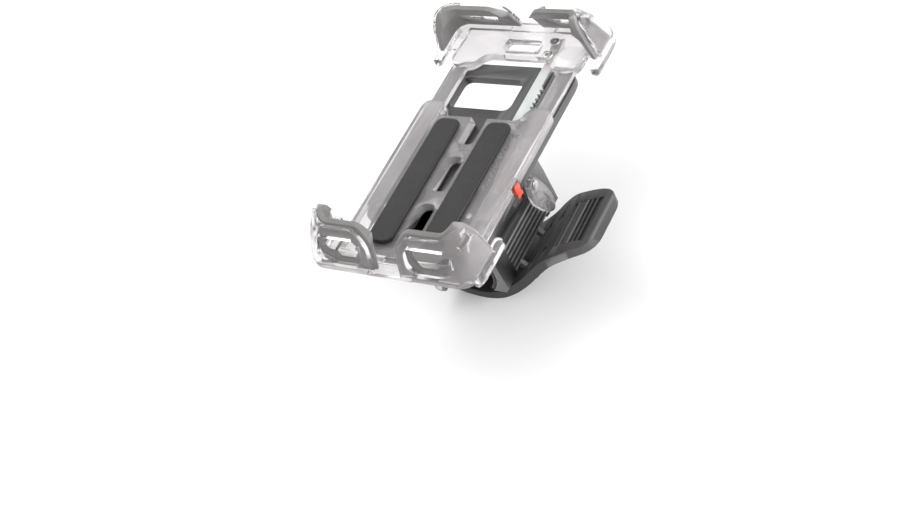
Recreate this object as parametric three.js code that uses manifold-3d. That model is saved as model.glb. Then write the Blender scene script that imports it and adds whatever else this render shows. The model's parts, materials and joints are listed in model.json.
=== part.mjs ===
// A phone mount for a bicycle stem. Millimetres, +Z up.
// The origin is on the stem's axis, straight below the swivel. The stem runs along Y, and the phone's
// top end points along +Y. The cradle turns on the swivel, its upper frame telescopes out of the lower
// frame, and a rubber strap holds the saddle on the stem.

import * as THREE from "three";
import { mergeVertices } from "three/addons/utils/BufferGeometryUtils.js";
import Module from "manifold-3d";

const wasm = await Module();
wasm.setup();

// ---------------------------------------------------------------- driving dimensions
const GAP = 0.3;                    // clearance between pieces that meet
const STEM_R = 15.9;                // the stem that the pad is shaped for
const PAD_T = 1.5;
const SADDLE_HALF_L = 25.5;         // half the saddle's length along the stem
const SADDLE_HALF_W = 20.9;         // outer face of the saddle's collars
const RIB_HALF_L = 16.5;            // half the length of the ribbed part of the side wall
const RIB_COUNT = 6;
const RIB_PITCH = 2.7;
const RIB_DEPTH = 2;
const FOOT_Z = -12.8;               // lower end of the saddle's wings
const TURRET_R = 25;
const TURRET_TOP = 27.3;

const PLATE_Z = [28.4, 32.2];       // black back plate
const PLATE_Y = [-31, 62];
const PLATE_HALF_W = 32;
const TRAY_Z = [32.5, 36.8];        // clear tray of the lower frame
const TRAY_HALF_W = 33;
const TRAY_END_Y = 35;              // rounded end of the lower frame's sleeves
const BED_Z = 38.9;                 // face that the phone lies on
const SLEEVE_X = [23.5, 31.5];      // inside of the two sleeves
const SLEEVE_TOP = 35.3;
const RAIL_Y = [-25, 62];

const LOWER_Y = 12;                 // what the lower grips' v is measured from, downward
const UPPER_Y = 13.5;               // and the upper grips' v, upward
const GRIP_U = 42.5;                // half width over the grips
const GRIP_V = 71;                  // half length over the grips
const LEG_U = 7.3;                  // inner edge of each grip's end wall
const EAR_V = 52.3;                 // free edge of each grip's side wall
const LIP_TOP = 54;                 // top of the grips' end walls
const EAR_TOP = 56.2;               // and of the ears at their corners
const SHELL_T = 2;

const HUB_R = 7.5;
const FLANGE_R = 11;
const RACK_X = [12.4, 17.4];
const GROOVE_X = [12, 19.6];
const RACK_Y = [-9, 78];
const RACK_Z = [30.4, 32.2];
const TOOTH_PITCH = 2.5;
const TOOTH_H = 1.6;
const PAWL_PIN = [22.6, 8];
const BUTTON_Y = -5;

const STRAP_Y = -2.2;                // middle of the strap
const STRAP_T = 4.2;
const STRAP_HALF_W = 18.7;
const TAB_HALF_W = 15;              // half width of the strap's free end
const PEG_SPACING = 17.5;
const STRAP_PIN = [-18.5, -17.2];
const LEVER_PIVOT = [8.3, 19.4];    // y and z of the lever's pin
const LEVER_X = [26.4, 29.4];

// ---------------------------------------------------------------- materials
function plastic(color, roughness, opacity = 1) {
  return new THREE.MeshStandardMaterial({
    color, roughness, metalness: 0, opacity, transparent: opacity < 1,
  });
}

const CLEAR = plastic(0xdedde6, 0.12, 0.4);
const BLACK = plastic(0x1a1a1c, 0.5);
const LINER = plastic(0x737276, 0.65);
const RUBBER = plastic(0x3b3b3c, 0.75);
const RED = plastic(0xd8402f, 0.4);
const WHITE = plastic(0xd8d8d4, 0.5);
const STEEL = new THREE.MeshStandardMaterial({ color: 0xb9bbbe, roughness: 0.3, metalness: 1 });

// ---------------------------------------------------------------- helpers
function solid(geometry) {
  const bare = geometry.clone();
  bare.deleteAttribute("normal");
  bare.deleteAttribute("uv");
  const welded = mergeVertices(bare, 1e-4);
  return new wasm.Manifold(new wasm.Mesh({
    numProp: 3,
    vertProperties: new Float32Array(welded.attributes.position.array),
    triVerts: new Uint32Array(welded.index.array),
  }));
}

function shapeOf(body) {
  const cut = body.getMesh();
  const geometry = new THREE.BufferGeometry();
  geometry.setAttribute("position", new THREE.BufferAttribute(new Float32Array(cut.vertProperties), 3));
  geometry.setIndex(new THREE.BufferAttribute(new Uint32Array(cut.triVerts), 1));
  return geometry;
}

function place(parent, name, body, material) {
  const geometry = shapeOf(body);
  geometry.computeVertexNormals();
  const mesh = new THREE.Mesh(geometry, material);
  mesh.name = name;
  parent.add(mesh);
}

function union(...bodies) {
  return bodies.reduce((all, body) => all.add(body));
}

function cutAll(body, cutters) {
  return cutters.reduce((left, cutter) => left.subtract(cutter), body);
}

// A closed outline through corners [a, b, r], where each corner's rounding starts r before it.
function outline(corners) {
  const shape = new THREE.Shape();
  corners.forEach(([a, b, r = 0], i) => {
    const before = corners.at(i - 1);
    const after = corners[(i + 1) % corners.length];
    const here = new THREE.Vector2(a, b);
    const enter = new THREE.Vector2(before[0] - a, before[1] - b).setLength(r).add(here);
    const leave = new THREE.Vector2(after[0] - a, after[1] - b).setLength(r).add(here);
    if (i === 0) shape.moveTo(enter.x, enter.y);
    else shape.lineTo(enter.x, enter.y);
    if (r > 0) shape.quadraticCurveTo(a, b, leave.x, leave.y);
  });
  shape.closePath();
  return shape;
}

function rectangle(a0, b0, a1, b1, r = 0) {
  return outline([[a0, b0, r], [a1, b0, r], [a1, b1, r], [a0, b1, r]]);
}

function extrude(shape, length) {
  return new THREE.ExtrudeGeometry(shape, { depth: length, bevelEnabled: false, curveSegments: 5 });
}

// The shape's two axes are x and y; it fills z0 to z1.
function prismZ(shape, z0, z1) {
  return solid(extrude(shape, z1 - z0).translate(0, 0, z0));
}

// The shape's two axes are x and z; it fills y0 to y1.
function prismY(shape, y0, y1) {
  return solid(extrude(shape, y1 - y0).rotateX(Math.PI / 2).translate(0, y1, 0));
}

// The shape's two axes are y and z; it fills x0 to x1.
function prismX(shape, x0, x1) {
  const turn = new THREE.Matrix4().set(0, 0, 1, x0, 1, 0, 0, 0, 0, 1, 0, 0, 0, 0, 0, 1);
  return solid(extrude(shape, x1 - x0).applyMatrix4(turn));
}

function box(x0, x1, y0, y1, z0, z1) {
  return prismZ(rectangle(x0, y0, x1, y1), z0, z1);
}

function diskZ(r, z0, z1, x = 0, y = 0, sides = 32) {
  const geometry = new THREE.CylinderGeometry(r, r, z1 - z0, sides).rotateX(Math.PI / 2);
  return solid(geometry.translate(x, y, (z0 + z1) / 2));
}

function rodY(r, x, z, y0, y1, sides = 20) {
  return solid(new THREE.CylinderGeometry(r, r, y1 - y0, sides).translate(x, (y0 + y1) / 2, z));
}

function rodX(r, y, z, x0, x1, sides = 20) {
  const geometry = new THREE.CylinderGeometry(r, r, x1 - x0, sides).rotateZ(Math.PI / 2);
  return solid(geometry.translate((x0 + x1) / 2, y, z));
}

// Stacked rounded rectangles about the z axis: each level is [z, half width, half length, corner radius].
function loft(levels, steps = 9) {
  const points = [];
  for (const [z, halfU, halfV, r] of levels) {
    for (let corner = 0; corner < 4; corner += 1) {
      const cu = (corner === 0 || corner === 3 ? 1 : -1) * (halfU - r);
      const cv = (corner < 2 ? 1 : -1) * (halfV - r);
      for (let i = 0; i < steps; i += 1) {
        const angle = (corner + i / (steps - 1)) * Math.PI / 2;
        points.push(cu + r * Math.cos(angle), cv + r * Math.sin(angle), z);
      }
    }
  }
  const ring = 4 * steps;
  const last = (levels.length - 1) * ring;
  const faces = [];
  for (let level = 0; level < levels.length - 1; level += 1) {
    for (let i = 0; i < ring; i += 1) {
      const a = level * ring + i;
      const b = level * ring + (i + 1) % ring;
      faces.push(a, b, b + ring, a, b + ring, a + ring);
    }
  }
  for (let i = 1; i < ring - 1; i += 1) {
    faces.push(0, i + 1, i, last, last + i, last + i + 1);
  }
  const geometry = new THREE.BufferGeometry();
  geometry.setAttribute("position", new THREE.Float32BufferAttribute(points, 3));
  geometry.setIndex(faces);
  return solid(geometry);
}

// A corner piece is drawn in u and v, and copied to a corner.
function toCorner(body, sideX, sideY) {
  const geometry = shapeOf(body);
  geometry.scale(sideX, sideY, 1);
  geometry.translate(0, sideY > 0 ? UPPER_Y : LOWER_Y, 0);
  if (sideX * sideY < 0) geometry.index.array.reverse();
  return solid(geometry);
}

function helix(wire, radius, turns, length) {
  const points = [];
  const steps = turns * 10;
  for (let i = 0; i <= steps; i += 1) {
    const angle = (i / steps) * turns * 2 * Math.PI;
    points.push(new THREE.Vector3(
      (i / steps) * length, radius * Math.cos(angle), radius * Math.sin(angle),
    ));
  }
  const path = new THREE.CatmullRomCurve3(points);
  const round = new THREE.Shape().absarc(0, 0, wire, 0, 2 * Math.PI, false);
  return new THREE.ExtrudeGeometry(round, { steps, extrudePath: path, curveSegments: 3 });
}

// ---------------------------------------------------------------- corner grips
const SHELL_OUTER = [
  [35.5, GRIP_U, GRIP_V, 9],
  [38, GRIP_U, GRIP_V, 9],
  [49.3, 39.9, 67.1, 10],
  [58, 36.6, 61.4, 9],
];
const SHELL_INNER = [
  [TRAY_Z[1], GRIP_U - SHELL_T, GRIP_V - SHELL_T, 7],
  [48.5, 38.1, 65.3, 8],
  [58.5, 34.9, 59.8, 7.5],
];
const LINER_OUTER = SHELL_INNER.map(([z, u, v, r], i) => [
  z + (i === 0 ? 0.4 : -0.25), u - GAP, v - GAP, r - GAP,
]);
const LINER_INNER = [
  [36, 38.7, 68.2, 5.5],
  [47.6, 35.6, 63.4, 6.5],
  [50, 33.1, 60.2, 5],
  [59, 32.1, 58.4, 5],
];

// Window in the end wall, drawn in u and z, with its corners drawn in by the given margin.
function gripWindow(margin) {
  const middle = [22.6, 44.4];
  const corners = [
    [11.4, 42.6, 0.9], [13.2, 40.6, 0.6], [14.6, 38.4, 0.8], [26, 38.4, 0.8], [27.2, 40, 0.6],
    [31.6, 40.8, 1], [33.8, 43, 0.8], [33.8, 48.2, 0.8], [31.4, 50.4, 1], [13.6, 50.4, 1], [11.4, 48.4, 1],
  ].map(([u, z, r]) => [
    u - Math.sign(u - middle[0]) * margin,
    z - Math.sign(z - middle[1]) * margin,
    r,
  ]);
  return prismY(outline(corners), 57, 80);
}

// What lies between a grip's inner end edge and its ear: a low end wall, its end slanted back, and a
// rounded ear that stands up at the corner. The rise lifts both tops.
function gripReach(innerU, earV, bottom, rise = 0) {
  const end = prismY(outline([
    [innerU, bottom],
    [60, bottom],
    [60, EAR_TOP + rise],
    [33, EAR_TOP + rise, 1.8],
    [29, LIP_TOP + rise, 1.8],
    [innerU + 6.2, LIP_TOP + rise, 2.2],
    [innerU, 48.8, 2.5],
  ]), 0, 80);
  const ear = prismX(outline([
    [80, bottom],
    [80, EAR_TOP + rise],
    [earV + 3, EAR_TOP + rise, 3.4],
    [earV + 0.4, 49, 3],
    [earV, bottom],
  ]), 0, 60);
  return end.intersect(ear);
}

// Oval slot through the slanted lip above the corner.
function lipSlot() {
  const slot = extrude(rectangle(-1.3, -3.4, 1.3, 3.4, 1.29), 8);
  slot.translate(0, 0, -4).rotateY(Math.PI / 4.6).rotateZ(0.12);
  return solid(slot.translate(37.9, 58.8, 51.4));
}

// The grip's thin floor, and the thicker arm that runs along its side.
function gripFloor() {
  const plan = ([z, u, v, r], z0) => loft([[z0, u, v, r], [TRAY_Z[1], u, v, r]]);
  const thin = prismZ(rectangle(LEG_U - 1, 60, 60, 80), 30, 40);
  const floor = plan(SHELL_OUTER[0], SHELL_OUTER[0][0]).intersect(thin);
  const reach = prismZ(rectangle(38.6, 45, GRIP_U + 0.01, 67, 1.6), 30, 40);
  const arm = plan(SHELL_OUTER[0], 33).intersect(reach);
  const eyelet = diskZ(1.2, 30, 40, 39.2, 65, 3);
  return union(floor, arm).subtract(eyelet);
}

function gripShell() {
  const wall = loft(SHELL_OUTER).subtract(loft(SHELL_INNER));
  const upright = wall.intersect(gripReach(LEG_U, EAR_V, TRAY_Z[1] - 1));
  return union(upright.subtract(gripWindow(0)).subtract(lipSlot()), gripFloor());
}

function gripLiner() {
  const wall = loft(LINER_OUTER).subtract(loft(LINER_INNER));
  const reach = gripReach(LEG_U - 1.6, EAR_V - 1.8, TRAY_Z[1], 0.6);
  return wall.intersect(reach).subtract(gripWindow(1.7));
}

function crossBar() {
  return box(-LEG_U - 4, LEG_U + 4, 65, 70.5, 34.4, TRAY_Z[1]);
}

// ---------------------------------------------------------------- lower frame
const PLATE_SCREWS = [[-20.9, -24], [20.9, -24], [-20.9, 29], [20.9, 29]];

function trayOutline() {
  const bottom = LOWER_Y - 62;
  return outline([
    [-TRAY_HALF_W, bottom],
    [TRAY_HALF_W, bottom],
    [TRAY_HALF_W, TRAY_END_Y, 4.5],
    [SLEEVE_X[0] - 2, TRAY_END_Y, 4.5],
    [SLEEVE_X[0] - 4, TRAY_END_Y - 8, 3],
    [-SLEEVE_X[0] + 4, TRAY_END_Y - 8, 3],
    [-SLEEVE_X[0] + 2, TRAY_END_Y, 4.5],
    [-TRAY_HALF_W, TRAY_END_Y, 4.5],
  ]);
}

function lowerFrame() {
  const grip = gripShell();
  const tray = prismZ(trayOutline(), ...TRAY_Z);
  const sleeves = [-1, 1].map((side) => {
    const [near, far] = SLEEVE_X.map((x) => side * x).sort((a, b) => a - b);
    return box(near, far, -48, TRAY_END_Y + 1, TRAY_Z[0] - 1, SLEEVE_TOP);
  });
  const screwHoles = PLATE_SCREWS.map(([x, y]) => diskZ(1.5, 30, 35.9, x, y, 16));
  const slots = [-40, -14, 12].map((y) => prismZ(rectangle(-4, y, 4, y + 19, 3), 30, 40));
  const buttonNotch = box(SLEEVE_X[1] - 1, 40, BUTTON_Y - 3, BUTTON_Y + 3, 30, 35.6);
  const body = union(
    tray,
    toCorner(grip, 1, -1),
    toCorner(grip, -1, -1),
    toCorner(crossBar(), 1, -1),
  );
  return cutAll(body, [...sleeves, ...screwHoles, ...slots, buttonNotch]);
}

// ---------------------------------------------------------------- upper frame
const RACK_SCREWS = [[15, 66], [15, 74]];

function upperFrame() {
  const grip = gripShell();
  const floorZ = [TRAY_Z[0] + GAP, TRAY_Z[1]];
  const floor = prismZ(outline([
    [-SLEEVE_X[1], 57, 4],
    [-SLEEVE_X[0] + 3, 57, 4],
    [-16, 64, 3],
    [16, 64, 3],
    [SLEEVE_X[0] - 3, 57, 4],
    [SLEEVE_X[1], 57, 4],
    [TRAY_HALF_W, 62],
    [TRAY_HALF_W, 80],
    [-TRAY_HALF_W, 80],
    [-TRAY_HALF_W, 62],
  ]), ...floorZ);
  const rails = [-1, 1].map((side) => {
    const [near, far] = SLEEVE_X.map((x) => side * x).sort((a, b) => a - b);
    const plan = rectangle(near + GAP, RAIL_Y[0], far - GAP, RAIL_Y[1], 1.5);
    return prismZ(plan, floorZ[0], SLEEVE_TOP - GAP);
  });
  const slot = prismZ(rectangle(-9, 67, 9, 74, 2), 30, 40);
  const screwHoles = RACK_SCREWS.flatMap(([x, y]) => [
    diskZ(1.3, 30, 40, x, y, 16),
    diskZ(2.3, 34.9, 40, x, y, 20),
  ]);
  const body = union(
    floor,
    ...rails,
    toCorner(grip, 1, 1),
    toCorner(grip, -1, 1),
    toCorner(crossBar(), 1, 1),
  );
  return cutAll(body, [slot, ...screwHoles]);
}

function rack() {
  const body = box(...RACK_X, ...RACK_Y, ...RACK_Z);
  const teeth = [];
  for (let y = RACK_Y[0] + 1; y < RACK_Y[1] - 26; y += TOOTH_PITCH) {
    teeth.push(prismZ(outline([
      [RACK_X[1] - 0.5, y],
      [RACK_X[1] + TOOTH_H, y],
      [RACK_X[1], y + TOOTH_PITCH - 0.4],
      [RACK_X[1] - 0.5, y + TOOTH_PITCH - 0.4],
    ]), ...RACK_Z));
  }
  const holes = RACK_SCREWS.map(([x, y]) => diskZ(1.15, 30, 33, x, y, 16));
  return cutAll(union(body, ...teeth), holes);
}

function rackScrew(x, y) {
  const head = diskZ(2, 35.1, 36.5, x, y, 20);
  const shank = diskZ(0.95, 30.8, 35.2, x, y, 12);
  return union(head, shank).subtract(diskZ(0.8, 35.8, 37, x, y, 6));
}

// ---------------------------------------------------------------- back plate and swivel
function backPlate() {
  const plan = outline([
    [-PLATE_HALF_W, PLATE_Y[0], 9],
    [PLATE_HALF_W, PLATE_Y[0], 9],
    [PLATE_HALF_W, PLATE_Y[1], 9],
    [-PLATE_HALF_W, PLATE_Y[1], 9],
  ]);
  const floor = 30.1;
  const cutters = [
    diskZ(HUB_R + GAP, 28, 33),
    diskZ(FLANGE_R + GAP, 30.2, 33),
    box(...GROOVE_X, PLATE_Y[0] + 1.5, 70, floor, 33),
    prismZ(rectangle(GROOVE_X[1] - 1, BUTTON_Y - 4, 27.9, 22, 1), floor, 33),
    box(24, 40, BUTTON_Y - 1.8, BUTTON_Y + 1.8, floor, 33),
    box(30.6, 40, BUTTON_Y - 2.7, BUTTON_Y + 2.7, floor - 0.3, 33),
    diskZ(1.2 + GAP / 2, 29, 33, ...PAWL_PIN, 16),
    ...PLATE_SCREWS.map(([x, y]) => diskZ(1.7, 28, 33, x, y, 16)),
    ...PLATE_SCREWS.map(([x, y]) => diskZ(2.8, 28, 29.8, x, y, 20)),
    prismZ(rectangle(-24, 36, 8, 54, 4), 28, 33),
  ];
  return cutAll(prismZ(plan, ...PLATE_Z), cutters);
}

function plateScrew(x, y) {
  const head = diskZ(2.5, 28.5, 29.6, x, y, 20);
  const shank = diskZ(1.2, 29.5, 35.6, x, y, 14);
  return union(head, shank).subtract(diskZ(0.9, 28, 29.2, x, y, 6));
}

function swivelHub() {
  const flange = diskZ(FLANGE_R, 30.5, 32, 0, 0, 40);
  const stem = diskZ(HUB_R, 21.7, 31, 0, 0, 40);
  return union(flange, stem).subtract(diskZ(2.3, 20, 29.5, 0, 0, 20));
}

function swivelWasher() {
  return diskZ(10, 20.3, 21.4, 0, 0, 36).subtract(diskZ(2.3, 20, 22, 0, 0, 20));
}

function swivelScrew() {
  const head = diskZ(3.8, 18.2, 20, 0, 0, 24);
  const shank = diskZ(2, 19.9, 29.2, 0, 0, 20);
  return union(head, shank).subtract(diskZ(1.3, 18, 19.2, 0, 0, 6));
}

function glideRing() {
  return diskZ(22, TURRET_TOP + 0.2, PLATE_Z[0] - 0.2, 0, 0, 48)
    .subtract(diskZ(13, 20, 30, 0, 0, 40));
}

// ---------------------------------------------------------------- release button and pawl
function releaseButton() {
  const head = prismX(rectangle(BUTTON_Y - 1.7, 32.2, BUTTON_Y + 1.7, 35, 0.7), 33.2, 33.8);
  const neck = box(31.1, 33.4, BUTTON_Y - 1.4, BUTTON_Y + 1.4, 30.4, 32.5);
  const stem = box(25.1, 31.3, BUTTON_Y - 1.4, BUTTON_Y + 1.4, 30.4, 32);
  return union(head, neck, stem);
}

function pawl() {
  const [px, py] = PAWL_PIN;
  const arm = prismZ(outline([
    [px - 0.4, -7.6, 0.8],
    [px + 2, -7.6, 0.8],
    [px + 2.2, 7, 1],
    [px + 1.6, 14, 1],
    [px - 0.6, 19.4, 1],
    [19.3, 20.8, 0.5],
    [19.3, 18.8, 0.3],
    [px - 2.2, 14.5, 1],
    [px - 2.4, 7, 1],
  ]), 30.4, 32);
  return arm.subtract(diskZ(1.5, 30, 33, px, py, 16));
}

function pawlPin() {
  return diskZ(1.2, 29.1, 32.1, ...PAWL_PIN, 16);
}

function pawlSpring() {
  return solid(helix(0.22, 0.62, 5, 2.9).translate(24.5, 13, 31.2));
}

// ---------------------------------------------------------------- saddle
// Half of the saddle's end view, from the bore at the foot, up the outside, to the crown.
function saddleSection(halfWidth) {
  const bore = STEM_R + PAD_T + GAP;
  const shape = new THREE.Shape();
  const footX = Math.sqrt(bore * bore - FOOT_Z * FOOT_Z);
  const footAngle = Math.atan2(FOOT_Z, footX);
  shape.moveTo(footX, FOOT_Z);
  shape.lineTo(halfWidth - 2, FOOT_Z);
  shape.lineTo(halfWidth, FOOT_Z + 2.4);
  shape.lineTo(halfWidth, 9);
  shape.quadraticCurveTo(halfWidth, 21.5, halfWidth - 8, 21.5);
  shape.lineTo(8 - halfWidth, 21.5);
  shape.quadraticCurveTo(-halfWidth, 21.5, -halfWidth, 9);
  shape.lineTo(-halfWidth, FOOT_Z + 2.4);
  shape.lineTo(2 - halfWidth, FOOT_Z);
  shape.lineTo(-footX, FOOT_Z);
  shape.absarc(0, 0, bore, Math.PI - footAngle, footAngle, true);
  return shape;
}

function saddleRibs() {
  const ribs = [];
  for (let i = 0; i < RIB_COUNT; i += 1) {
    const z = 5 - i * RIB_PITCH;
    for (const side of [-1, 1]) {
      const shape = outline([
        [side * 18.4, z - 0.95],
        [side * (SADDLE_HALF_W - 0.1), z - 0.6],
        [side * (SADDLE_HALF_W - 0.1), z + 0.6],
        [side * 18.4, z + 0.95],
      ]);
      ribs.push(prismY(shape, -RIB_HALF_L - 1, RIB_HALF_L + 1));
    }
  }
  return ribs;
}

// Pegs on the right foot that the strap's holes hook over, with a lip at each end.
function strapPegs() {
  return [-1, 1].map((side) => {
    const peg = new THREE.CylinderGeometry(1.9, 1.9, 10.5, 20).translate(0, -5.25, 0);
    const knob = new THREE.CylinderGeometry(2.9, 2.2, 1.6, 20).translate(0, -9.7, 0);
    const lean = Math.atan2(pegDirection.x, -pegDirection.z);
    const both = [peg, knob].map((geometry) => {
      geometry.rotateZ(lean).rotateX(Math.PI / 2);
      return geometry;
    });
    const bodies = both.map((geometry) => {
      geometry.translate(pegRoot.x, STRAP_Y + side * PEG_SPACING / 2, pegRoot.z);
      return solid(geometry);
    });
    return union(...bodies);
  });
}

function pinLugs() {
  const [px, pz] = STRAP_PIN;
  return [-1, 1].map((side) => {
    const y = STRAP_Y + side * (STRAP_HALF_W + 2.4);
    const plate = prismY(outline([
      [px - 1.9, FOOT_Z + 3],
      [px - 3, pz - 3, 2.5],
      [px + 3, pz - 3, 2.5],
      [px + 5.4, FOOT_Z + 1.5],
    ]), y - 1.9, y + 1.9);
    return plate;
  });
}

function saddleBase() {
  const middle = prismY(saddleSection(SADDLE_HALF_W - RIB_DEPTH), -SADDLE_HALF_L, SADDLE_HALF_L);
  const collars = [-1, 1].map((side) => {
    const ends = [side * RIB_HALF_L, side * SADDLE_HALF_L].sort((a, b) => a - b);
    return prismY(saddleSection(SADDLE_HALF_W), ...ends);
  });
  const turret = diskZ(TURRET_R, 16, TURRET_TOP, 0, 0, 56);
  const leverBoss = prismX(rectangle(LEVER_PIVOT[0] - 4.6, 14.6, LEVER_PIVOT[0] + 4.6, 24.4, 2), 14, 26);
  const bore = rodY(STEM_R + PAD_T + GAP, 0, 0, -40, 40, 64);
  const [px, pz] = STRAP_PIN;
  const body = union(middle, ...collars, ...saddleRibs(), turret, leverBoss, ...pinLugs());
  const cutters = [
    bore,
    diskZ(HUB_R + GAP, 10, 40, 0, 0, 40),
    diskZ(10 + GAP, 10, 21.6, 0, 0, 40),
    box(5, 40, -3.3, 3.3, 21.9, 26.1),
    rodX(1.5 + GAP / 2, ...LEVER_PIVOT, 18.5, 40, 18),
    rodY(1.6 + GAP / 2, px, pz, -40, 40, 18),
  ];
  return union(cutAll(body, cutters), ...strapPegs());
}

function saddlePad() {
  const outer = STEM_R + PAD_T;
  const end = Math.asin(-12 / outer);
  const shape = new THREE.Shape();
  shape.absarc(0, 0, outer, end, Math.PI - end, false);
  shape.absarc(0, 0, STEM_R, Math.PI - end, end, true);
  shape.closePath();
  const geometry = new THREE.ExtrudeGeometry(shape, {
    depth: 2 * SADDLE_HALF_L, bevelEnabled: false, curveSegments: 28,
  });
  return solid(geometry.rotateX(Math.PI / 2).translate(0, SADDLE_HALF_L, 0));
}

// ---------------------------------------------------------------- strap
// The strap's middle line in the x-z plane, from its pin, under the stem, to the end of the pull tab.
const STRAP_LINE = new THREE.SplineCurve([
  [-18.5, -17.2], [-14.2, -20.8], [-8, -23.2], [0, -24.3], [8, -23], [14, -20], [19.5, -16.2],
  [27, -9.9], [35, -2.1], [42.2, 4.1], [49.5, 8.3], [57, 11.9], [63, 14], [67, 14.9],
].map(([x, z]) => new THREE.Vector2(x, z)));
const PEG_AT = 0.466;               // how far along the strap its pegs and rows of holes are
const HOLE_ROWS = [PEG_AT, 0.545, 0.685];
const RIDGE_COUNT = 5;
const RIDGE_STEP = 0.029;

function strapPoint(t) {
  const point = STRAP_LINE.getPointAt(t);
  const along = STRAP_LINE.getTangentAt(t);
  return { x: point.x, z: point.y, nx: along.y, nz: -along.x };
}

const pegAt = strapPoint(PEG_AT);
const pegDirection = { x: pegAt.nx, z: pegAt.nz };
const pegRoot = { x: pegAt.x - 5.6 * pegAt.nx, z: pegAt.z - 5.6 * pegAt.nz };

function strapBand() {
  const over = [];
  const under = [];
  const steps = 44;
  for (let i = 0; i <= steps; i += 1) {
    const p = strapPoint(i / steps);
    over.push(new THREE.Vector2(p.x - p.nx * STRAP_T / 2, p.z - p.nz * STRAP_T / 2));
    under.push(new THREE.Vector2(p.x + p.nx * STRAP_T / 2, p.z + p.nz * STRAP_T / 2));
  }
  const shape = new THREE.Shape([...over, ...under.reverse()]);
  return prismY(shape, STRAP_Y - STRAP_HALF_W, STRAP_Y + STRAP_HALF_W);
}

function strapPlan() {
  const wide = STRAP_HALF_W;
  const tab = TAB_HALF_W;
  const corners = [
    [-30, -wide], [38, -wide, 8], [67.6, -tab, 9],
    [67.6, tab, 9], [38, wide, 8], [-30, wide],
  ];
  return prismZ(outline(corners.map(([x, y, r]) => [x, STRAP_Y + y, r])), -40, 40);
}

// A cutter or a ridge that lies along the strap from t0 to t1, between two depths and two widths.
function alongStrap(t0, t1, depth0, depth1, y0, y1) {
  const points = [];
  const back = [];
  for (let i = 0; i <= 8; i += 1) {
    const p = strapPoint(t0 + (t1 - t0) * i / 8);
    points.push(new THREE.Vector2(p.x - p.nx * depth0, p.z - p.nz * depth0));
    back.push(new THREE.Vector2(p.x - p.nx * depth1, p.z - p.nz * depth1));
  }
  return prismY(new THREE.Shape([...points, ...back.reverse()]), STRAP_Y + y0, STRAP_Y + y1);
}

function strapHole(t, side) {
  const p = strapPoint(t);
  const hole = new THREE.CylinderGeometry(2.3, 2.3, 12, 20);
  hole.rotateZ(Math.atan2(p.nx, -p.nz)).rotateX(Math.PI / 2);
  return solid(hole.translate(p.x, STRAP_Y + side * PEG_SPACING / 2, p.z));
}

function strap() {
  const eye = rodY(4, ...STRAP_PIN, STRAP_Y - STRAP_HALF_W, STRAP_Y + STRAP_HALF_W, 28);
  const band = union(strapBand().intersect(strapPlan()), eye);
  const half = STRAP_T / 2;
  const recess = alongStrap(0.765, 0.945, half - 1, half + 2, -11.5, 11.5);
  const ridges = [];
  for (let i = 0; i < RIDGE_COUNT; i += 1) {
    const t = 0.789 + i * RIDGE_STEP;
    ridges.push(alongStrap(t, t + 0.014, half - 1.5, half - 0.1, -12, 12));
  }
  const holes = HOLE_ROWS.flatMap((t) => [strapHole(t, -1), strapHole(t, 1)]);
  const pinHole = rodY(1.6 + GAP, ...STRAP_PIN, -40, 40, 20);
  return cutAll(union(band.subtract(recess), ...ridges), [...holes, pinHole]);
}

function strapPin() {
  const reach = STRAP_HALF_W + 5;
  return rodY(1.6, ...STRAP_PIN, STRAP_Y - reach, STRAP_Y + reach, 20);
}

// ---------------------------------------------------------------- swivel lever and brake block
function swivelLever() {
  const [py, pz] = LEVER_PIVOT;
  const shape = outline([
    [py - 2.6, pz + 2.4, 2],
    [py + 2.4, pz + 2.8, 2],
    [py + 6.2, pz - 8, 4],
    [py + 7.2, pz - 16, 3.5],
    [py + 4.6, pz - 21, 2],
    [py + 0.2, pz - 18.5, 2.8],
    [py - 4.6, pz - 8, 4],
  ]);
  const leaf = prismX(shape, ...LEVER_X);
  const dish = prismX(outline([
    [py + 0.2, pz - 4.6, 1.5],
    [py + 3.6, pz - 8.4, 2.5],
    [py + 4.6, pz - 14, 1.6],
    [py + 1.4, pz - 14.4, 1.2],
    [py - 2, pz - 8.2, 2.5],
  ]), LEVER_X[1] - 1.1, 40);
  const hole = rodX(1.5 + GAP / 2, py, pz, 20, 40, 18);
  return cutAll(leaf, [dish, hole]);
}

function leverPin() {
  const [py, pz] = LEVER_PIVOT;
  const head = rodX(2, py, pz, LEVER_X[1] + 0.2, LEVER_X[1] + 0.8, 20);
  return union(rodX(1.5, py, pz, 18.8, LEVER_X[1] + 0.4, 18), head);
}

function brakeBlock() {
  const shoe = box(HUB_R + GAP, 12, -3, 3, 22.2, 25.2);
  const rod = box(11.9, 25.6, -1.9, 1.9, 22.2, 25.2);
  const grip = prismY(outline([
    [25.5, 20, 0.5], [25.5, 26.8], [27.2, 26.8, 0.6], [27.2, 20, 0.8],
  ]), -0.8, 3);
  return union(shoe, rod, grip);
}

// ---------------------------------------------------------------- assembly
const mount = new THREE.Group();
const saddle = new THREE.Group();
const cradle = new THREE.Group();
const upper = new THREE.Group();
mount.add(saddle, cradle, upper);

place(saddle, "saddle_base", saddleBase(), BLACK);
place(saddle, "saddle_pad", saddlePad(), RUBBER);
place(saddle, "strap", strap(), RUBBER);
place(saddle, "strap_pin", strapPin(), STEEL);
place(saddle, "glide_ring", glideRing(), WHITE);
place(saddle, "swivel_lever", swivelLever(), CLEAR);
place(saddle, "lever_pin", leverPin(), STEEL);
place(saddle, "brake_block", brakeBlock(), RED);

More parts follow.
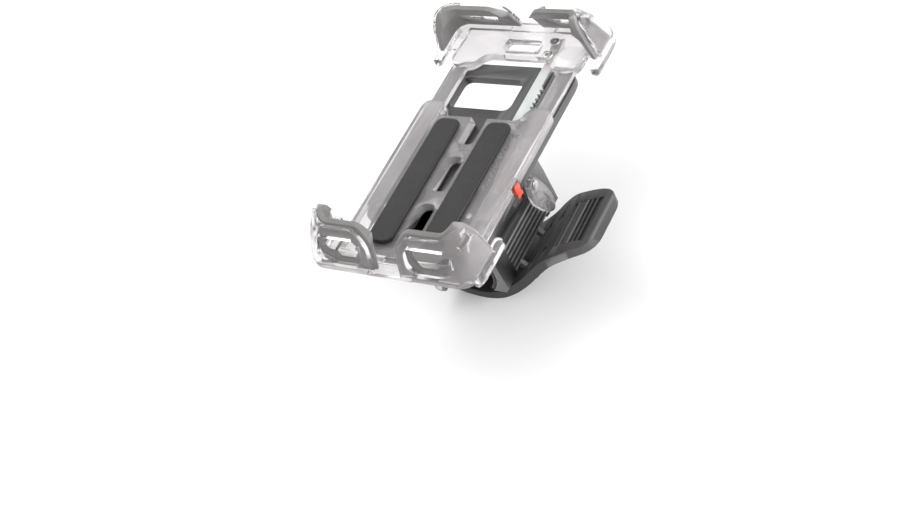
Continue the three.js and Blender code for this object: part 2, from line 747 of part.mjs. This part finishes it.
place(cradle, "back_plate", backPlate(), BLACK);
place(cradle, "swivel_hub", swivelHub(), BLACK);
place(cradle, "swivel_washer", swivelWasher(), STEEL);
place(cradle, "swivel_screw", swivelScrew(), STEEL);
place(cradle, "lower_frame", lowerFrame(), CLEAR);
place(cradle, "release_button", releaseButton(), RED);
place(cradle, "pawl", pawl(), WHITE);
place(cradle, "pawl_pin", pawlPin(), STEEL);
place(cradle, "pawl_spring", pawlSpring(), STEEL);
PLATE_SCREWS.forEach(([x, y], i) => place(cradle, `plate_screw_${i + 1}`, plateScrew(x, y), STEEL));

place(upper, "upper_frame", upperFrame(), CLEAR);
place(upper, "rack", rack(), WHITE);
RACK_SCREWS.forEach(([x, y], i) => place(upper, `rack_screw_${i + 1}`, rackScrew(x, y), STEEL));

for (const [side, sideX] of [["left", -1], ["right", 1]]) {
  place(cradle, `liner_lower_${side}`, toCorner(gripLiner(), sideX, -1), LINER);
  place(upper, `liner_upper_${side}`, toCorner(gripLiner(), sideX, 1), LINER);
  const [near, far] = [sideX * 7, sideX * 19].sort((a, b) => a - b);
  const pad = prismZ(rectangle(near, -44, far, 24, 4), TRAY_Z[1] + 0.1, BED_Z);
  place(cradle, `bed_pad_${side}`, pad, RUBBER);
}

export default mount;
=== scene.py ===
"""The looks of a bicycle phone mount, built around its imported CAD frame."""
import json
import math

import bmesh
import bpy
from mathutils import Matrix, Vector


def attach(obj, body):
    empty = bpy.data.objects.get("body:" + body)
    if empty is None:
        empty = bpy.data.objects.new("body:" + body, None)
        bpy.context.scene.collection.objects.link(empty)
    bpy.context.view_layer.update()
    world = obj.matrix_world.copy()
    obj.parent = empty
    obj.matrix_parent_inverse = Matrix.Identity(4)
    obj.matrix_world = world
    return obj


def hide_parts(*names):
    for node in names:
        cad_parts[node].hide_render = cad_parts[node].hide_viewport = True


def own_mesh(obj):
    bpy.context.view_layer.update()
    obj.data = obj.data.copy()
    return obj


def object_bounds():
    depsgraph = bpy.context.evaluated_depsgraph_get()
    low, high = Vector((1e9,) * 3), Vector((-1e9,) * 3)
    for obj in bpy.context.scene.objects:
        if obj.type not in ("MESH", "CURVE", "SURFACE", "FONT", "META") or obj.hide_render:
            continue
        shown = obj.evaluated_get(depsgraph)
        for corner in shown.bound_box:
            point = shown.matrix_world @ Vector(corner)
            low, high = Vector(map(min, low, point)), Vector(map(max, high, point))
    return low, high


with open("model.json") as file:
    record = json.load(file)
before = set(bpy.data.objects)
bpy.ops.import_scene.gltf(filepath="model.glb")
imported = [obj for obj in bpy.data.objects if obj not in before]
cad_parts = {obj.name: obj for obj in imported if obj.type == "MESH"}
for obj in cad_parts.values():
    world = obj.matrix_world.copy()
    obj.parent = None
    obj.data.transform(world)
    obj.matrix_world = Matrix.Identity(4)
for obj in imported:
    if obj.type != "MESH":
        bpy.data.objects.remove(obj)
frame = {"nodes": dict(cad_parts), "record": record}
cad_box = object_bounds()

MM = 0.001
BODY_OF = {
    node: body
    for body, nodes in frame["record"]["behaviour"]["bodies"].items()
    for node in nodes
}

# ---------------------------------------------------------------- view
CAMERA_AT = Vector((0.3827, -0.3357, 0.4652))
CAMERA_RIGHT = Vector((0.8128, 0.4365, -0.3857))
CAMERA_UP = Vector((-0.1195, 0.7730, 0.6230))
LENS_MM = 64
SENSOR_MM = 36


def make_camera():
    data = bpy.data.cameras.new("camera")
    data.lens = LENS_MM
    data.sensor_width = SENSOR_MM
    data.clip_start = 10 * MM
    camera = bpy.data.objects.new("camera", data)
    bpy.context.scene.collection.objects.link(camera)
    back = CAMERA_RIGHT.cross(CAMERA_UP).normalized()
    up = back.cross(CAMERA_RIGHT).normalized()
    turn = Matrix((CAMERA_RIGHT.normalized(), up, back)).transposed()
    camera.matrix_world = Matrix.Translation(CAMERA_AT) @ turn.to_4x4()
    bpy.context.scene.camera = camera


# ---------------------------------------------------------------- materials
MOTTLE_STOPS = (0.3, 0.7)           # the noise values where a mottle's two tones are pure
EDGE_POINTINESS = (0.52, 0.6)       # from a slight edge to a sharp one
STEM_TO_TAB_X = (26 * MM, 52 * MM)       # where along x the strap turns from its painted shade near the stem to its lighter pull tab


class Nodes:
    """A short way to write a node material. The scale of a noise is in cycles per metre."""

    def __init__(self, name):
        self.material = bpy.data.materials.new(name)
        self.material.use_nodes = True
        self.tree = self.material.node_tree
        self.shader = self.tree.nodes["Principled BSDF"]

    def add(self, kind, **inputs):
        node = self.tree.nodes.new("ShaderNode" + kind)
        for socket, value in inputs.items():
            node.inputs[socket.replace("_", " ")].default_value = value
        return node

    def link(self, out, into):
        self.tree.links.new(out, into)

    def set(self, **inputs):
        for socket, value in inputs.items():
            self.shader.inputs[socket.replace("_", " ")].default_value = value

    def noise(self, scale, detail=4.0):
        place = self.add("TexCoord")
        noise = self.add("TexNoise", Scale=scale, Detail=detail)
        self.link(place.outputs["Object"], noise.inputs["Vector"])
        return noise.outputs["Fac"]

    def color(self, out):
        self.link(out, self.shader.inputs["Base Color"])

    def mottle(self, scale, dark, light):
        """A colour that wanders between two tones."""
        ramp = self.add("ValToRGB")
        for element, at, tone in zip(ramp.color_ramp.elements, MOTTLE_STOPS, (dark, light)):
            element.position = at
            element.color = (*tone, 1)
        self.link(self.noise(scale), ramp.inputs["Fac"])
        return ramp.outputs["Color"]

    def roughness(self, scale, low, high):
        """Roughness that wanders between two values."""
        ranged = self.add("MapRange", To_Min=low, To_Max=high)
        self.link(self.noise(scale), ranged.inputs["Value"])
        self.link(ranged.outputs["Result"], self.shader.inputs["Roughness"])

    def grain(self, scale, detail, height):
        """Fine relief of the surface, its height in metres."""
        bump = self.add("Bump", Distance=height)
        self.link(self.noise(scale, detail), bump.inputs["Height"])
        self.link(bump.outputs["Normal"], self.shader.inputs["Normal"])

    def blend(self, value, low, high):
        """A mix that goes from Color1 to Color2 as the value goes from low to high."""
        fac = self.add("MapRange", From_Min=low, From_Max=high)
        self.link(value, fac.inputs["Value"])
        mix = self.add("MixRGB")
        self.link(fac.outputs["Result"], mix.inputs["Fac"])
        return mix

    def lighten_edges(self, color, edge_tone):
        """Lightens a colour along convex edges, as handling does; on the black nylon this is
        partly a painted highlight.
        """
        geometry = self.add("NewGeometry")
        mix = self.blend(geometry.outputs["Pointiness"], *EDGE_POINTINESS)
        mix.inputs["Color2"].default_value = (*edge_tone, 1)
        self.link(color, mix.inputs["Color1"])
        return mix.outputs["Color"]

    def along_x(self, start, end, before, after):
        """Turns one colour into another between two places along x, in metres."""
        place = self.add("TexCoord")
        split = self.add("SeparateXYZ")
        self.link(place.outputs["Object"], split.inputs["Vector"])
        mix = self.blend(split.outputs["X"], start, end)
        self.link(before, mix.inputs["Color1"])
        self.link(after, mix.inputs["Color2"])
        return mix.outputs["Color"]


def clear_plastic():
    m = Nodes("clear_plastic")
    m.color(m.mottle(60, (0.84, 0.82, 0.83), (0.90, 0.885, 0.89)))
    m.set(IOR=1.3, Transmission_Weight=0.96)
    m.roughness(350, 0.03, 0.1)
    m.grain(160, 2, 0.05 * MM)
    return m.material


def thick_clear_plastic():
    """Clear plastic where it is thick or hollow, and looks milky."""
    m = Nodes("thick_clear_plastic")
    m.color(m.mottle(60, (0.80, 0.77, 0.775), (0.88, 0.86, 0.865)))
    m.set(IOR=1.46, Transmission_Weight=0.84)
    m.roughness(350, 0.05, 0.14)
    m.grain(160, 2, 0.05 * MM)
    return m.material


def liner_rubber():
    m = Nodes("liner_rubber")
    tone = m.mottle(90, (0.125, 0.118, 0.117), (0.180, 0.170, 0.168))
    m.color(m.lighten_edges(tone, (0.27, 0.26, 0.26)))
    m.set(Sheen_Weight=0.15, IOR=1.45)
    m.roughness(500, 0.42, 0.6)
    m.grain(1500, 2, 0.03 * MM)
    return m.material


def black_nylon():
    m = Nodes("black_nylon")
    tone = m.mottle(120, (0.010, 0.010, 0.011), (0.018, 0.018, 0.019))
    # edges lightened partly as wear, partly as a painted highlight on the glossy black
    m.color(m.lighten_edges(tone, (0.09, 0.09, 0.092)))
    m.set(IOR=1.75)
    m.roughness(700, 0.24, 0.4)
    m.grain(2200, 2, 0.03 * MM)
    return m.material


def rib_highlight_nylon():
    """The same nylon, lightened on the ribbed side walls as a painted highlight of the light they
    catch.
    """
    m = Nodes("rib_highlight_nylon")
    m.color(m.mottle(200, (0.24, 0.24, 0.243), (0.36, 0.36, 0.365)))
    m.set(IOR=1.6)
    m.roughness(700, 0.3, 0.45)
    m.grain(2200, 2, 0.03 * MM)
    return m.material


def strap_rubber():
    """Black rubber, darkened towards the stem as painted shade, lighter at the pull tab, its edges
    greyed at the tab where it is handled.
    """
    m = Nodes("strap_rubber")
    # the first tone is painted shade, where the strap lies near the stem under the cradle; the
    # second is the lighter pull tab
    shaded_tone = m.mottle(80, (0.004, 0.004, 0.004), (0.008, 0.008, 0.008))
    tab_tone = m.mottle(80, (0.012, 0.012, 0.012), (0.024, 0.024, 0.024))
    tone = m.along_x(*STEM_TO_TAB_X, shaded_tone, tab_tone)
    m.color(m.along_x(*STEM_TO_TAB_X, tone, m.lighten_edges(tone, (0.13, 0.13, 0.13))))
    m.set(Sheen_Weight=0.08)
    m.roughness(600, 0.5, 0.68)
    m.grain(1400, 3, 0.05 * MM)
    return m.material


def red_plastic():
    m = Nodes("red_plastic")
    m.color(m.mottle(150, (0.66, 0.065, 0.045), (0.76, 0.095, 0.065)))
    m.roughness(600, 0.28, 0.42)
    m.grain(1800, 2, 0.02 * MM)
    return m.material


def white_acetal():
    m = Nodes("white_acetal")
    m.color(m.mottle(150, (0.62, 0.62, 0.59), (0.72, 0.72, 0.69)))
    m.set(Subsurface_Weight=0.1)
    m.roughness(600, 0.35, 0.5)
    m.grain(1800, 2, 0.02 * MM)
    return m.material


def steel():
    m = Nodes("steel")
    m.color(m.mottle(400, (0.50, 0.50, 0.52), (0.66, 0.66, 0.67)))
    m.set(Metallic=1.0)
    m.roughness(900, 0.2, 0.38)
    m.grain(2500, 2, 0.01 * MM)
    return m.material


MATERIALS = {
    "clear_plastic": clear_plastic(),
    "thick_clear_plastic": thick_clear_plastic(),
    "liner_rubber": liner_rubber(),
    "black_nylon": black_nylon(),
    "rib_highlight_nylon": rib_highlight_nylon(),
    "strap_rubber": strap_rubber(),
    "red_plastic": red_plastic(),
    "white_acetal": white_acetal(),
    "steel": steel(),
}

# ---------------------------------------------------------------- where a node has a second finish
TRAY_HALF_W = 33.2 * MM
TRAY_TOP = 37 * MM
RIB_FACE_X = 20.6 * MM              # the ribbed side walls lie beyond this, left and right
RIB_HALF_LENGTH = 16.6 * MM
RIB_Z = (-11.5 * MM, 6.5 * MM)


def is_tray(at):
    return abs(at.x) < TRAY_HALF_W and at.z < TRAY_TOP


def is_rib_face(at):
    on_wall = abs(at.x) > RIB_FACE_X and abs(at.y) < RIB_HALF_LENGTH
    return on_wall and RIB_Z[0] < at.z < RIB_Z[1]


def anywhere(at):
    return True


# The node's other material, and the part of the node that has it.
SECOND_FINISH = {
    "lower_frame": ("thick_clear_plastic", is_tray),
    "upper_frame": ("thick_clear_plastic", is_tray),
    "swivel_lever": ("thick_clear_plastic", anywhere),
    # the ribbed side walls get nylon lightened as a painted highlight
    "saddle_base": ("rib_highlight_nylon", is_rib_face),
}

# ---------------------------------------------------------------- moulded pieces
LINERS = ["liner_lower_left", "liner_lower_right", "liner_upper_left", "liner_upper_right"]
# How far each node's edges are rounded, in millimetres. Nodes left out get ROUNDING.
ROUNDING = 0.3
EDGE_MM = {
    "lower_frame": 0.45, "upper_frame": 0.45, **dict.fromkeys(LINERS, 0.6),
    "bed_pad_left": 0.6, "bed_pad_right": 0.6, "strap": 0.7, "saddle_base": 0.35,
    "back_plate": 0.5, "swivel_lever": 0.8, "release_button": 0.35, "rack": 0.12,
    "glide_ring": 0.12, "swivel_washer": 0.12, "pawl_spring": 0.0,
}
MERGE_DISTANCE = 0.002 * MM         # points closer than this are one point
FLAT_ANGLE = math.radians(0.6)      # faces that meet at less than this are one flat face
SHARP_ANGLE = math.radians(24)      # edges that turn more than this are rounded
BEVEL_SEGMENTS = 3


def merged_mesh(node):
    """The node's mesh with its flats merged, so that only the shape's own edges are left."""
    mesh = frame["nodes"][node].data.copy()
    mesh.name = node + "_moulded"
    work = bmesh.new()
    work.from_mesh(mesh)
    bmesh.ops.remove_doubles(work, verts=work.verts, dist=MERGE_DISTANCE)
    bmesh.ops.dissolve_limit(
        work, angle_limit=FLAT_ANGLE, verts=work.verts, edges=work.edges, delimit={"NORMAL"},
    )
    work.to_mesh(mesh)
    work.free()
    return mesh


def finish_mesh(mesh, node, slot):
    """Gives the mesh its material, its second finish where it has one, and smooth shading."""
    mesh.materials.clear()
    mesh.materials.append(MATERIALS[slot])
    for polygon in mesh.polygons:
        polygon.use_smooth = True
    if node in SECOND_FINISH:
        finish, has_it = SECOND_FINISH[node]
        mesh.materials.append(MATERIALS[finish])
        for polygon in mesh.polygons:
            polygon.material_index = int(has_it(polygon.center))


def round_edges(piece, width):
    bevel = piece.modifiers.new("rounded", "BEVEL")
    bevel.width = width
    bevel.segments = BEVEL_SEGMENTS
    bevel.limit_method = "ANGLE"
    bevel.angle_limit = SHARP_ANGLE
    bevel.use_clamp_overlap = True
    bevel.miter_outer = "MITER_ARC"
    bevel.harden_normals = True


def moulded(node, slot):
    """A piece with the node's shape and with rounded edges, as a moulding has them."""
    mesh = merged_mesh(node)
    finish_mesh(mesh, node, slot)
    piece = bpy.data.objects.new(node + "_moulded", mesh)
    bpy.context.scene.collection.objects.link(piece)
    width = EDGE_MM.get(node, ROUNDING)
    if width > 0:
        round_edges(piece, width * MM)
    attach(piece, BODY_OF[node])
    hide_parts(node)
    return piece


def shorten_spring(spring):
    """Gives the spring its own copy of its mesh."""
    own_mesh(spring)


# ---------------------------------------------------------------- studio
FLOOR_DROP = 2 * MM                 # how far the floor lies below the lowest point
FLOOR_HALF = 3.0
WORLD_STRENGTH = 0.95
LIGHT_AIM = Vector((0, 0, 0.02))
# Each light's place and size in metres, and its power in watts.
LIGHTS = {
    "key": ((-0.5, 0.2, 1.1), (0.8, 0.8), 5),
    "side": ((1.0, 0.1, 0.22), (0.6, 0.4), 13),
    "front": ((0.2, -1.1, 0.6), (0.9, 0.4), 2),
}


def floor_paper():
    m = Nodes("floor_paper")
    m.color(m.mottle(3, (0.86, 0.86, 0.87), (0.88, 0.88, 0.88)))
    m.set(Roughness=0.9)
    return m.material


def make_floor():
    low = min(corner[2] for corner in cad_box) - FLOOR_DROP
    around = [(-1, -1), (1, -1), (1, 1), (-1, 1)]
    corners = [(FLOOR_HALF * x, FLOOR_HALF * y, low) for x, y in around]
    mesh = bpy.data.meshes.new("floor")
    mesh.from_pydata(corners, [], [(0, 1, 2, 3)])
    mesh.materials.append(floor_paper())
    floor = bpy.data.objects.new("floor", mesh)
    bpy.context.scene.collection.objects.link(floor)


def area_light(name, at, size, power):
    data = bpy.data.lights.new(name, "AREA")
    data.shape = "RECTANGLE"
    data.size, data.size_y = size
    data.energy = power
    light = bpy.data.objects.new(name, data)
    light.location = at
    light.rotation_euler = (LIGHT_AIM - Vector(at)).to_track_quat("-Z", "Y").to_euler()
    bpy.context.scene.collection.objects.link(light)


def make_studio():
    world = bpy.data.worlds.new("studio")
    world.use_nodes = True
    background = world.node_tree.nodes["Background"]
    background.inputs["Color"].default_value = (1, 1, 1, 1)
    background.inputs["Strength"].default_value = WORLD_STRENGTH
    bpy.context.scene.world = world
    bpy.context.scene.view_settings.view_transform = "Standard"
    for name, light in LIGHTS.items():
        area_light(name, *light)


pieces = {
    part["node"]: moulded(part["node"], part["material_slot"])
    for part in frame["record"]["subparts"]
}
shorten_spring(pieces["pawl_spring"])
make_camera()
make_floor()
make_studio()
